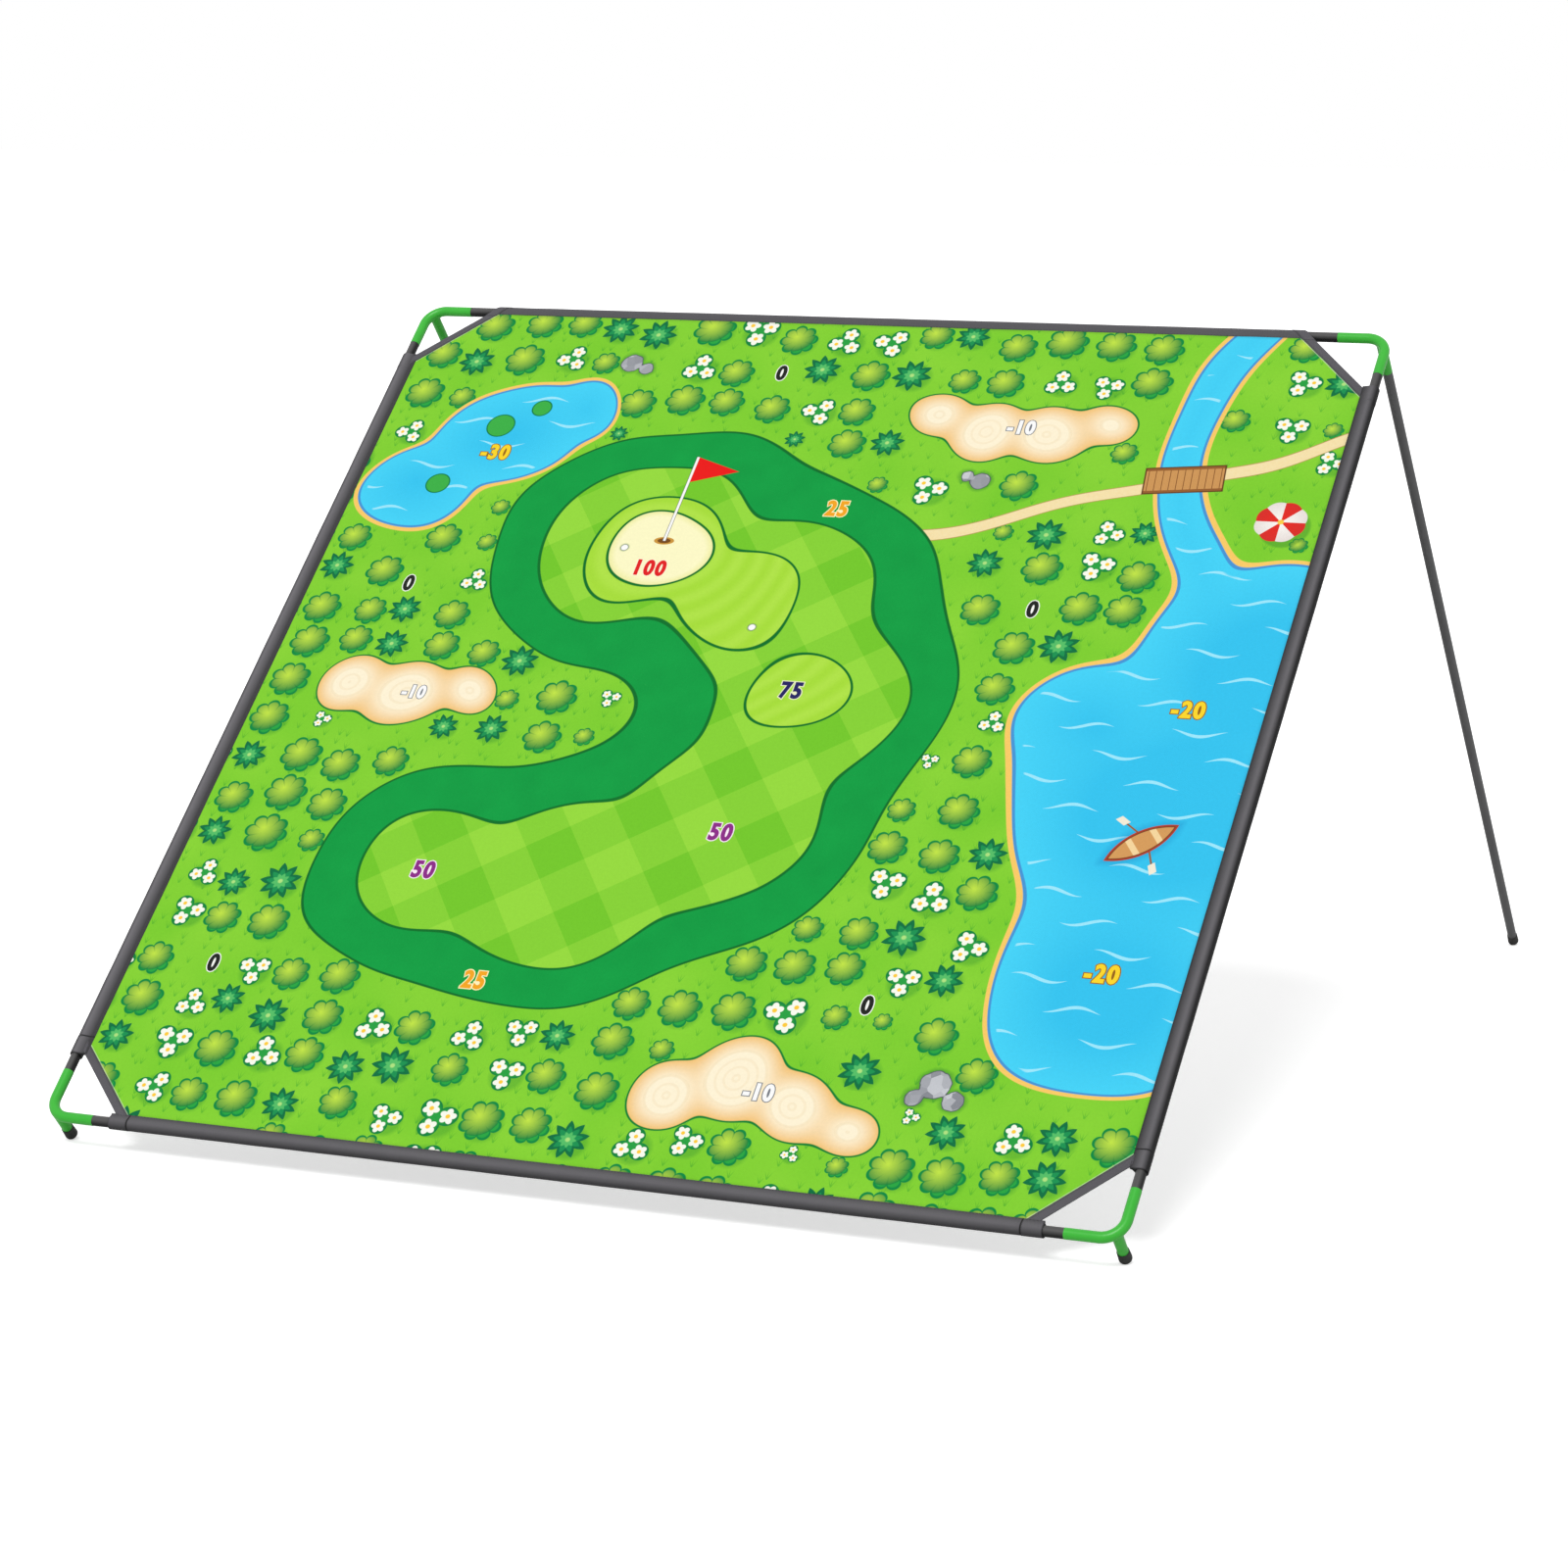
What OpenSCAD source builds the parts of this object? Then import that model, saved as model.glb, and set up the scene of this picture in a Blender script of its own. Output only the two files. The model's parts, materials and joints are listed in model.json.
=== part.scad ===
// Golf chipping target: a printed cloth held flat in a square tube frame, which leans back on two long
// rear legs and two short front feet. The frame knocks down into half tubes and four corner connectors.
//
// The target is modelled lying flat, its lower left corner at the origin where the tube axes cross,
// +X to the right, +Y up the target and +Z out of its printed face. on_ground() then tips it back and
// stands it up: +X right, +Y back, +Z up, with the origin on the ground under the middle of the part.

/* [Frame] */
// Distance between the axes of the left and the right side tubes
frame_w = 1387; // [900:1:1800]
// Distance between the axes of the bottom and the top tubes, along the slope
frame_h = 1387; // [900:1:1800]
// Outer diameter of the painted steel tubes
tube_d = 13; // [10:0.5:19]
// Wall of the tubes and of their swaged ends
tube_wall = 0.8; // [0.5:0.1:1.5]
// Length of the swaged end that joins one half tube to the next
splice_len = 34; // [20:1:80]
// Radial clearance of each swaged end in its socket
fit_gap = 0.08; // [0.03:0.01:0.1]
// Length over which a tube's bore narrows into its swaged end
neck_len = 2; // [1:0.5:6]

/* [Corner connectors] */
// Wall of the green connector tube
conn_wall = 1.05; // [0.8:0.05:2.5]
// Radius of the connector's bend, at the tube's axis
bend_r = 27; // [20:1:60]
// Straight length of each of the two arms in the frame's plane, past the bend
arm_straight = 39; // [25:1:80]
// How much thinner than the bend the third arm is, on the radius, so that its weld ends on the flanks
third_step = 0.15; // [0.1:0.05:0.4]
// Length of the third arm, from the frame's plane to its mouth
third_arm = 52; // [40:1:90]
// Socket left free past the tip of a swaged end
socket_room = 5; // [1:0.5:12]
// Metal between the bend's bore and the bottom of the third arm's socket, past the bend's own wall
root_wall = 0.75; // [0.5:0.25:3]

/* [Rear legs] */
// Length of each rear leg, from the frame's plane to the end of its foot
leg_len = 1283; // [800:1:1800]

/* [Rubber feet] */
// Length of a foot along its tube
foot_len = 18; // [12:1:30]
// Thickness of a foot's closed end
foot_end = 2.5; // [1.5:0.5:6]
// Wall of a foot at its mouth
foot_lip = 0.9; // [0.6:0.1:2]
// How much wider a foot is at its closed end than at its mouth, on the radius
foot_flare = 0.5; // [0:0.1:2]
// Rounding of the closed end's edge
foot_round = 5; // [2:0.5:6]
// Radial clearance drawn between a foot and its tube
foot_gap = 0.03; // [0.02:0.01:0.05]

/* [Target cloth] */
// Thickness of the printed cloth with its backing
sheet_t = 1.2; // [0.8:0.1:2.5]
// How far the printed face lies below the crown of the sleeves
sheet_set = 2.3; // [0.5:0.1:3]
// Wall of a sleeve, two layers of cloth
sleeve_wall = 1.5; // [0.8:0.1:3]
// Slack between a sleeve and its tube, on the radius
sleeve_slack = 0.3; // [0.1:0.1:1]
// Bare tube between a connector's arm and the end of a sleeve
bare_tube = 24; // [10:1:80]
// Length of the turned and stitched hem at each end of a sleeve
hem_len = 26; // [10:1:60]
// Extra thickness of that hem
hem_extra = 0.4; // [0.2:0.1:1]
// Flat web of the left and right sleeves, between the tube and the seam
side_web = 3.4; // [0.1:0.1:20]
// Flat web of the top and bottom sleeves, between the tube and the seam
end_web = 0.1; // [0.1:0.1:20]
// Width of the tape that binds a cut corner
tape_w = 12; // [6:1:30]
// Thickness of one layer of that tape, which is folded over the front and the back of the cloth
tape_ply = 0.4; // [0.2:0.1:1]
// How far the edges of those layers stop short of the cut edge of the cloth
tape_edge = 0.5; // [0.2:0.1:3]
// Distance from a sleeve's end to the outer edge of the tape, along the seam
tape_lap = 4; // [1:0.5:30]

/* [Hidden] */
$fn = 64;
eps = 0.01;

// Tubes, sockets and swaged ends
tube_r = tube_d / 2;
bore_r = tube_r - tube_wall;
spigot_r = bore_r - fit_gap;
spigot_bore_r = spigot_r - tube_wall;
conn_r = bore_r + conn_wall;
third_r = conn_r - third_step;
arm_len = bend_r + arm_straight;
arm_spigot = arm_straight - socket_room;
root_z = conn_r + root_wall;
leg_spigot = third_arm - root_z - socket_room;

// The third arm stands on the middle of the bend, so the legs lie a little inside the frame's corners
leg_in = bend_r * (1 - cos(45));

// Half tubes: each side is two of one length, and so is each rear leg
half_w = frame_w / 2 - arm_len;
half_h = frame_h / 2 - arm_len;
half_leg = (leg_len - foot_end - third_arm) / 2;

// Sleeves, seams and bound corners
sleeve_bore_r = tube_r + sleeve_slack;
sleeve_r = sleeve_bore_r + sleeve_wall;
hem_r = sleeve_r + hem_extra;
sleeve_start = arm_len + bare_tube;
face_z = sleeve_r - sheet_set;
back_z = face_z - sheet_t;
tape_back_z = back_z - tape_ply;
seam_low_z = max(0, tape_back_z);
seam_reach = sqrt(hem_r * hem_r - seam_low_z * seam_low_z);
side_seam = seam_reach + side_web;
end_seam = seam_reach + end_web;
sleeve_facets = 40;
tape_outer = sleeve_start + tape_lap + side_seam;
tape_inner = tape_outer + tape_w * sqrt(2);
tape_front = tape_inner - tape_edge * sqrt(2);

// Feet, and the slope at which all four touch the ground
function foot_r(held_r) = held_r + foot_gap + foot_lip + foot_flare;
front_len = third_arm + foot_end;
front_rim = foot_r(third_r) - foot_round;
rear_rim = foot_r(tube_r) - foot_round;
slope = atan((leg_len - front_len) / (frame_h - 2 * leg_in - rear_rim + front_rim));
lift = (front_len - foot_round) * cos(slope) - (leg_in - front_rim) * sin(slope) + foot_round;

// Reach in front of and behind the lower tube's axis, which puts the origin under the middle
reach_front = hem_r;
reach_back = (frame_h - leg_in + rear_rim) * cos(slope) + (leg_len - foot_round) * sin(slope) + foot_round;

// ---- Places -------------------------------------------------------------------------------------

// Tips the flat target back and stands it on its feet
module on_ground() {
    translate([0, (reach_front - reach_back) / 2, lift])
        rotate([slope, 0, 0])
            translate([-frame_w / 2, 0, 0])
                children();
}

// Puts a lower left corner's piece at one of the four corners, turned to face the middle
module at_corner(right, top) {
    translate([right ? frame_w : 0, top ? frame_h : 0, 0])
        rotate([0, 0, right ? (top ? 180 : 90) : (top ? 270 : 0)])
            children();
}

// The same for a piece that isn't alike along both sides, mirrored instead of turned
module mirrored_to_corner(right, top) {
    translate([right ? frame_w : 0, top ? frame_h : 0, 0])
        mirror([right ? 1 : 0, 0, 0])
            mirror([0, top ? 1 : 0, 0])
                children();
}

// Puts a leg's or a foot's piece, drawn along +Z from its upper end, on the axis of a third arm
module at_leg(right, top, depth) {
    translate([right ? frame_w - leg_in : leg_in, top ? frame_h - leg_in : leg_in, -depth])
        rotate([180, 0, 0])
            children();
}

// ---- Steel tubes --------------------------------------------------------------------------------

// A half tube along +Z with a swaged end before z = 0, and another past its far end or an open socket
module half_tube(len, near_spigot, far_spigot) {
    color([0.17, 0.17, 0.18])
        difference() {
            union() {
                cylinder(r = tube_r, h = len);
                translate([0, 0, -near_spigot])
                    cylinder(r = spigot_r, h = near_spigot + len / 2);
                if (far_spigot > 0)
                    translate([0, 0, len / 2])
                        cylinder(r = spigot_r, h = len / 2 + far_spigot);
            }
            translate([0, 0, neck_len])
                cylinder(r = bore_r, h = far_spigot > 0 ? len - 2 * neck_len : len);
            translate([0, 0, -near_spigot - eps])
                cylinder(r = spigot_bore_r, h = near_spigot + len + far_spigot + 2 * eps);
        }
}

// A half of the bottom or the top side; the left half plugs into the right one
module level_tube(right, top) {
    y = top ? frame_h : 0;
    on_ground()
        translate([right ? frame_w - arm_len : arm_len, y, 0])
            rotate([0, right ? -90 : 90, 0])
                half_tube(half_w, arm_spigot, right ? 0 : splice_len);
}

// A half of the left or the right side; the lower half plugs into the upper one
module upright_tube(right, upper) {
    x = right ? frame_w : 0;
    on_ground()
        translate([x, upper ? frame_h - arm_len : arm_len, 0])
            rotate([upper ? 90 : -90, 0, 0])
                half_tube(half_h, arm_spigot, upper ? 0 : splice_len);
}

module bottom_tube_left() { level_tube(false, false); }
module bottom_tube_right() { level_tube(true, false); }
module top_tube_left() { level_tube(false, true); }
module top_tube_right() { level_tube(true, true); }
module left_tube_lower() { upright_tube(false, false); }
module left_tube_upper() { upright_tube(false, true); }
module right_tube_lower() { upright_tube(true, false); }
module right_tube_upper() { upright_tube(true, true); }

// Upper half of a rear leg: swaged end up in the connector's third arm, open socket below
module rear_leg_upper(right) {
    on_ground()
        at_leg(right, true, third_arm)
            half_tube(half_leg, leg_spigot, 0);
}

// Lower half of a rear leg: swaged end up in the upper half, open end in the rubber foot
module rear_leg_lower(right) {
    on_ground()
        at_leg(right, true, third_arm + half_leg)
            half_tube(half_leg, splice_len, 0);
}

module rear_leg_upper_left() { rear_leg_upper(false); }
module rear_leg_upper_right() { rear_leg_upper(true); }
module rear_leg_lower_left() { rear_leg_lower(false); }
module rear_leg_lower_right() { rear_leg_lower(true); }

// ---- Green corner connectors --------------------------------------------------------------------

// The bend with its two arms in the frame's plane, as a solid bar
module bent_bar(r, past) {
    translate([bend_r, bend_r, 0])
        rotate([0, 0, 180])
            rotate_extrude(angle = 90)
                translate([bend_r, 0])
                    circle(r = r);
    translate([bend_r, 0, 0])
        rotate([0, 90, 0])
            cylinder(r = r, h = arm_straight + past);
    translate([0, bend_r, 0])
        rotate([-90, 0, 0])
            cylinder(r = r, h = arm_straight + past);
}

// One connector at the lower left corner: the bent tube, and the third arm welded square to its bend
module corner_connector() {
    color([0.28, 0.72, 0.26])
        difference() {
            union() {
                bent_bar(conn_r, 0);
                translate([leg_in, leg_in, -third_arm])
                    cylinder(r = third_r, h = third_arm);
            }
            bent_bar(bore_r, eps);
            translate([leg_in, leg_in, -third_arm - eps])
                cylinder(r = bore_r, h = third_arm - root_z + eps);
        }
}

module connector_bottom_left() { on_ground() at_corner(false, false) corner_connector(); }
module connector_bottom_right() { on_ground() at_corner(true, false) corner_connector(); }
module connector_top_left() { on_ground() at_corner(false, true) corner_connector(); }
module connector_top_right() { on_ground() at_corner(true, true) corner_connector(); }

// ---- Rubber feet --------------------------------------------------------------------------------

// A cap drawn along +Z with its mouth at z = 0 and its rounded, closed end at z = foot_len
module foot(held_r) {
    hole_r = held_r + foot_gap;
    mouth_r = hole_r + foot_lip;
    wide_r = foot_r(held_r);
    edge = [for (a = [0 : 15 : 90]) [
        wide_r - foot_round * (1 - cos(a)),
        foot_len - foot_round * (1 - sin(a))
    ]];
    color([0.10, 0.10, 0.10])
        rotate_extrude()
            polygon(concat(
                [[0, foot_len - foot_end], [hole_r, foot_len - foot_end], [hole_r, 0], [mouth_r, 0]],
                edge,
                [[0, foot_len]]
            ));
}

// A front foot closes the third arm of a lower connector
module front_foot(right) {
    on_ground()
        at_leg(right, false, front_len - foot_len)
            foot(third_r);
}

// A rear foot closes the lower end of a rear leg
module rear_foot(right) {
    on_ground()
        at_leg(right, true, leg_len - foot_len)
            foot(tube_r);
}

module front_foot_left() { front_foot(false); }
module front_foot_right() { front_foot(true); }
module rear_foot_left() { rear_foot(false); }
module rear_foot_right() { rear_foot(true); }

// ---- Target cloth -------------------------------------------------------------------------------

// Direction in which the tangent from a point (reach, rise) touches a circle round the origin
function touch(r, reach, rise, side) = atan2(rise, reach) + side * acos(r / norm([reach, rise]));

// Section of a sleeve round a tube at the origin, drawn in to a seam at x = seam
module sleeve_section(r, seam) {
    from = touch(r, seam, face_z, 1);
    to = touch(r, seam, back_z, -1) + 360;
    round_part = [for (i = [0 : sleeve_facets]) let (a = from + (to - from) * i / sleeve_facets)
        [r * cos(a), r * sin(a)]];
    difference() {
        polygon(concat([[seam, back_z], [seam, face_z]], round_part));
        circle(r = sleeve_bore_r);
    }
}

// A sleeve along +Z from z = sleeve_start on a side of length side_len, with a hem at each end
module sleeve(side_len, seam) {
    len = side_len - 2 * sleeve_start;
    color([0.33, 0.33, 0.35])
        translate([0, 0, sleeve_start]) {
            linear_extrude(height = hem_len)
                sleeve_section(hem_r, seam);
            translate([0, 0, hem_len])
                linear_extrude(height = len - 2 * hem_len)
                    sleeve_section(sleeve_r, seam);
            translate([0, 0, len - hem_len])
                linear_extrude(height = hem_len)
                    sleeve_section(hem_r, seam);
        }
}

// A sleeve on the bottom side, its seam towards +Y and its printed side up
module level_sleeve() {
    rotate([90, 0, 90])
        sleeve(frame_w, end_seam);
}

// A sleeve on the left side, its seam towards +X and its printed side up
module upright_sleeve() {
    translate([0, frame_h, 0])
        rotate([90, 0, 0])
            sleeve(frame_h, side_seam);
}

module sleeve_bottom() { on_ground() mirrored_to_corner(false, false) level_sleeve(); }
module sleeve_top() { on_ground() mirrored_to_corner(false, true) level_sleeve(); }
module sleeve_left() { on_ground() mirrored_to_corner(false, false) upright_sleeve(); }
module sleeve_right() { on_ground() mirrored_to_corner(true, false) upright_sleeve(); }

// The printed cloth between the seams, its four corners cut off at 45 degrees
module target_sheet() {
    x0 = side_seam;
    x1 = frame_w - side_seam;
    y0 = end_seam;
    y1 = frame_h - end_seam;
    across = tape_inner - end_seam;
    up = tape_inner - side_seam;
    color([0.49, 0.81, 0.17])
        on_ground()
            translate([0, 0, back_z])
                linear_extrude(height = sheet_t)
                    polygon([
                        [across, y0], [frame_w - across, y0],
                        [x1, up], [x1, frame_h - up],
                        [frame_w - across, y1], [across, y1],
                        [x0, frame_h - up], [x0, up]
                    ]);
}

// The tape's outline from seam to seam, out to the line x + y = reach
module tape_outline(reach) {
    polygon([
        [side_seam, tape_outer - side_seam],
        [tape_outer - end_seam, end_seam],
        [reach - end_seam, end_seam],
        [side_seam, reach - side_seam]
    ]);
}

// The tape at the lower left corner: its fold meets the cut edge of the cloth, between its two layers
module corner_binding() {
    color([0.37, 0.37, 0.38]) {
        translate([0, 0, back_z])
            linear_extrude(height = sheet_t)
                tape_outline(tape_inner);
        translate([0, 0, tape_back_z])
            linear_extrude(height = sheet_t + 2 * tape_ply)
                tape_outline(tape_front);
    }
}

module binding_bottom_left() { on_ground() mirrored_to_corner(false, false) corner_binding(); }
module binding_bottom_right() { on_ground() mirrored_to_corner(true, false) corner_binding(); }
module binding_top_left() { on_ground() mirrored_to_corner(false, true) corner_binding(); }
module binding_top_right() { on_ground() mirrored_to_corner(true, true) corner_binding(); }

// ---- The part -----------------------------------------------------------------------------------

connector_bottom_left();
connector_bottom_right();
connector_top_left();
connector_top_right();
bottom_tube_left();
bottom_tube_right();
top_tube_left();
top_tube_right();
left_tube_lower();
left_tube_upper();
right_tube_lower();
right_tube_upper();
rear_leg_upper_left();
rear_leg_upper_right();
rear_leg_lower_left();
rear_leg_lower_right();
front_foot_left();
front_foot_right();
rear_foot_left();
rear_foot_right();
target_sheet();
sleeve_bottom();
sleeve_top();
sleeve_left();
sleeve_right();
binding_bottom_left();
binding_bottom_right();
binding_top_left();
binding_top_right();
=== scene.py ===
"""Golf chipping target: looks for the printed cloth, its steel tube frame, rubber feet and sewn edges."""

import json
from functools import reduce
from math import acos, atan2, ceil, cos, pi, radians, sin, sqrt

import bmesh
import bpy
from mathutils import Euler, Matrix, Vector, geometry, noise


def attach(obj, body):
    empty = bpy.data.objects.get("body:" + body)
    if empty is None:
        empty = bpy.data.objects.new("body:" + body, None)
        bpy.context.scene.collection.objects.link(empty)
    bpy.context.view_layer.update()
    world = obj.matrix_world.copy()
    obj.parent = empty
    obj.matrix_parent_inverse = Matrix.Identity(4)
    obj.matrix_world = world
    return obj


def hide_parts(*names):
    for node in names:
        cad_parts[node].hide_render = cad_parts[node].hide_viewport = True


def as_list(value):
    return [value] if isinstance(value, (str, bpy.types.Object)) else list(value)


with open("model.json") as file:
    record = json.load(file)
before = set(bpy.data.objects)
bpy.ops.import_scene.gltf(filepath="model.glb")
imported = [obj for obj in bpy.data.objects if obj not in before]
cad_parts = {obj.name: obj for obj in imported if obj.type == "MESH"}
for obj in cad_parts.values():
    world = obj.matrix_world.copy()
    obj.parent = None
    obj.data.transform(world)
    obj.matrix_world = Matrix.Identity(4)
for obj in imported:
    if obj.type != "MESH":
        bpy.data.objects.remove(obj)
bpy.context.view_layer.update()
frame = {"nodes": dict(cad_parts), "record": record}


# ---- Green corner connectors ----
# Four bent steel tubes with a third arm welded square to each bend, coated in glossy green powder.
# The tubes are CAD nodes; the weld's rounded throat between arm and bend is added round each of them.

def ink(red, green, blue):
    """A colour given in a screen's eight-bit steps, as a shader takes it."""
    steps = [c / 255 for c in (red, green, blue)]
    return (*[c / 12.92 if c <= 0.04045 else ((c + 0.055) / 1.055) ** 2.4 for c in steps], 1.0)


class Wire:
    """An output socket that takes part in Python arithmetic."""

    def __init__(self, nodes, socket):
        self.nodes = nodes
        self.socket = socket

    def sibling(self, name):
        """Another output of the node that this wire comes from."""
        return Wire(self.nodes, self.socket.node.outputs[name])

    def split(self):
        """A point's x and y."""
        x = self.nodes.node("ShaderNodeSeparateXYZ", {0: self}, "X")
        return x, x.sibling("Y")

    def math(self, operation, *others):
        values = dict(enumerate((self, *others)))
        return self.nodes.node("ShaderNodeMath", values, operation=operation)

    def vector(self, operation, *others, out="Vector"):
        values = dict(enumerate((self, *others)))
        return self.nodes.node("ShaderNodeVectorMath", values, out, operation=operation)

    def __add__(self, other):
        return self.math("ADD", other)

    def __sub__(self, other):
        return self.math("SUBTRACT", other)

    def __rsub__(self, other):
        return self.math("MULTIPLY_ADD", -1, other)

    def __mul__(self, other):
        return self.math("MULTIPLY", other)

    def __truediv__(self, other):
        return self.math("DIVIDE", other)

    def __lt__(self, other):
        return self.math("LESS_THAN", other)

    def __gt__(self, other):
        return self.math("GREATER_THAN", other)

    def __abs__(self):
        return self.math("ABSOLUTE")

    __radd__ = __add__
    __rmul__ = __mul__

    def least(self, *others):
        return reduce(lambda found, other: found.math("MINIMUM", other), others, self)

    def most(self, *others):
        return reduce(lambda found, other: found.math("MAXIMUM", other), others, self)

    def fade(self, start, stop):
        """1 where this is at start or beyond it, 0 at stop, and even between them."""
        ends = {"From Min": start, "From Max": stop, "To Min": 1.0, "To Max": 0.0}
        return self.nodes.node("ShaderNodeMapRange", {"Value": self, **ends})


class Nodes:
    """A tree of nodes. Every node that is added to it comes from node()."""

    def __init__(self, tree):
        self.tree = tree

    def node(self, kind, values=None, out=0, stops=(), **settings):
        made = self.tree.nodes.new(kind)
        for name, value in settings.items():
            setattr(made, name, value)
        for place, colour in stops[2:]:
            made.color_ramp.elements.new(place)
        for element, (place, colour) in zip(made.color_ramp.elements if stops else (), stops):
            element.position = place
            element.color = colour
        for name, value in (values or {}).items():
            self.feed(made.inputs[name], value)
        return Wire(self, made.outputs[out])

    def feed(self, socket, value):
        if isinstance(value, Wire):
            self.tree.links.new(value.socket, socket)
        else:
            socket.default_value = value


class Finish(Nodes):
    """A material. Its shader's sockets are set by name, to a number, a colour or a Wire, and at is where a
    point of it is, in the standing part's frame."""

    def __init__(self, name, colour, **sockets):
        self.material = bpy.data.materials.new(name)
        self.material.use_nodes = True
        super().__init__(self.material.node_tree)
        self.shader = self.tree.nodes["Principled BSDF"]
        self.at = self.node("ShaderNodeTexCoord", out="Object")
        self.colour = colour
        self.set(Base_Color=colour, **sockets)

    def set(self, **sockets):
        for name, value in sockets.items():
            self.feed(self.shader.inputs[name.replace("_", " ")], value)

    def grain(self, size, detail=2.0):
        """Noise from 0 to 1, with spots of about this size in metres."""
        spots = {"Vector": self.at, "Scale": 1 / size, "Detail": detail}
        return self.node("ShaderNodeTexNoise", spots, "Fac")

    def mix(self, share, below, above):
        """The colour below with this share of the colour above laid over it."""
        return self.node("ShaderNodeMix", {0: share, 6: below, 7: above}, 2, data_type="RGBA")

    def lay(self, share, above):
        """Lays this share of another colour over the finish's own."""
        self.colour = self.mix(share, self.colour, above)
        self.set(Base_Color=self.colour)

    def bump(self, height, depth):
        """Relief of this depth in metres, for a height from 0 to 1."""
        self.set(Normal=self.node("ShaderNodeBump", {"Height": height, "Distance": depth}))


face = next(m for m in frame["record"]["mounts"] if m["name"] == "target_face")
outward = Vector(face["axis"]).normalized()
rightward = Vector((1, 0, 0))
face_z = 0.006  # the printed face, above the plane of the tubes' axes
middle = Vector(face["pos_m"]) - outward * face_z
tilt = Matrix((rightward, outward.cross(rightward), outward)).transposed()
stand = Matrix.Translation(middle) @ tilt.to_4x4()
half_side = 1.387 / 2  # from the middle to the axis of a side tube
corners = {"bottom_left": (-1, -1), "bottom_right": (1, -1), "top_left": (-1, 1), "top_right": (1, 1)}

green_coat = Finish("green powder coat", ink(44, 172, 44), Specular_IOR_Level=0.35, Coat_Weight=0.08,
                    Coat_Roughness=0.2)
green_coat.lay(green_coat.grain(0.03), ink(62, 188, 54))
green_coat.set(Roughness=0.32 + 0.1 * green_coat.grain(0.005))
green_coat.bump(green_coat.grain(0.0018, 1.0), 0.00012)


def wear(finish, *nodes):
    """Gives CAD nodes their finish."""
    for node in nodes:
        for slot in frame["nodes"][node].material_slots:
            slot.material = finish.material


def as_mesh(name, made):
    mesh = bpy.data.meshes.new(name)
    made.to_mesh(mesh)
    made.free()
    return mesh


def added(name, data):
    """Adds an object to the scene."""
    made = bpy.data.objects.new(name, data)
    bpy.context.scene.collection.objects.link(made)
    return made


def finished(name, finish, made):
    """Stands up a mesh that was made on the flat target, as a piece of the frame."""
    bmesh.ops.recalc_face_normals(made, faces=made.faces)
    made.transform(stand)
    piece = added(name, as_mesh(name, made))
    piece.data.shade_smooth()
    piece.data.materials.append(finish.material)
    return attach(piece, "frame")


def skin(across, along, place, measure=None):
    """A mesh of across by along faces laid over a form: place(i, j) gives its points, measure(i, j) the
    cloth's own coordinates in metres. Edges that meet are merged, and open ends are filled."""
    made = bmesh.new()
    bmesh.ops.create_grid(made, x_segments=across, y_segments=along, size=0.5)
    steps = {v: (round((v.co.x + 0.5) * across), round((v.co.y + 0.5) * along)) for v in made.verts}
    if measure:
        cloth = made.loops.layers.uv.new("cloth")
        for patch in made.faces:
            for loop in patch.loops:
                loop[cloth].uv = measure(*steps[loop.vert])
    for v, (i, j) in steps.items():
        v.co = place(i, j)
    bmesh.ops.remove_doubles(made, verts=made.verts, dist=1e-7)
    ends = bmesh.ops.holes_fill(made, edges=[e for e in made.edges if e.is_boundary])["faces"]
    bmesh.ops.poke(made, faces=ends)
    return made


bend_r = 0.027  # radius of a connector's bend, at its axis
bend_tube_r = 0.00675  # outside of the bent tube
arm_r = 0.0066  # outside of the third arm
throat_r = 0.0042  # rounding of the weld
throat_turns, throat_steps = 64, 8
arm_in = bend_r * (1 - sqrt(0.5))  # from the crossing of the side tubes to the third arm, both ways


def throat_of(sx, sy):
    """The weld's surface: the hollow that a ball leaves as it rolls round the arm, touching arm and bend."""
    def place(i, j):
        turn = 2 * pi * i / throat_turns
        inward = Vector((-cos(turn), -sin(turn), 0))
        ball = Vector((arm_in, arm_in, 0)) - inward * (arm_r + throat_r)
        bend_middle = Vector((bend_r, bend_r, 0))
        from_bend = ball - bend_middle
        depth = sqrt((bend_tube_r + throat_r) ** 2 - (from_bend.length - bend_r) ** 2)
        core = bend_middle + from_bend.normalized() * bend_r
        ball.z -= depth
        to_bend = (core - ball).normalized()
        if j == throat_steps + 1:
            half = inward.angle(to_bend) / 2
            point = ball + (inward + to_bend).normalized() * throat_r * (1 / cos(half) + 0.1)
        else:
            point = ball + inward.slerp(to_bend, (j % (throat_steps + 2)) / throat_steps) * throat_r
        return Vector((sx * (half_side - point.x), sy * (half_side - point.y), point.z))
    return place


for corner, (sx, sy) in corners.items():
    wear(green_coat, "connector_" + corner)
    throat = skin(throat_turns, throat_steps + 2, throat_of(sx, sy))
    finished("weld_" + corner, green_coat, throat)


# ---- Side tubes and rear legs ----
# Thin steel tubes, each side and each rear leg in two halves that plug together by a swaged end.
# They are CAD nodes: the sides in black paint with a painted highlight on the side that faces up and to the
# left, the legs in a dark grey one.

side_tubes = {
    "bottom": ("bottom_tube_left", "bottom_tube_right"), "top": ("top_tube_left", "top_tube_right"),
    "left": ("left_tube_lower", "left_tube_upper"), "right": ("right_tube_lower", "right_tube_upper"),
}
painted_highlight_side = Vector((-0.5, -0.35, 0.8)).normalized()


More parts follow.
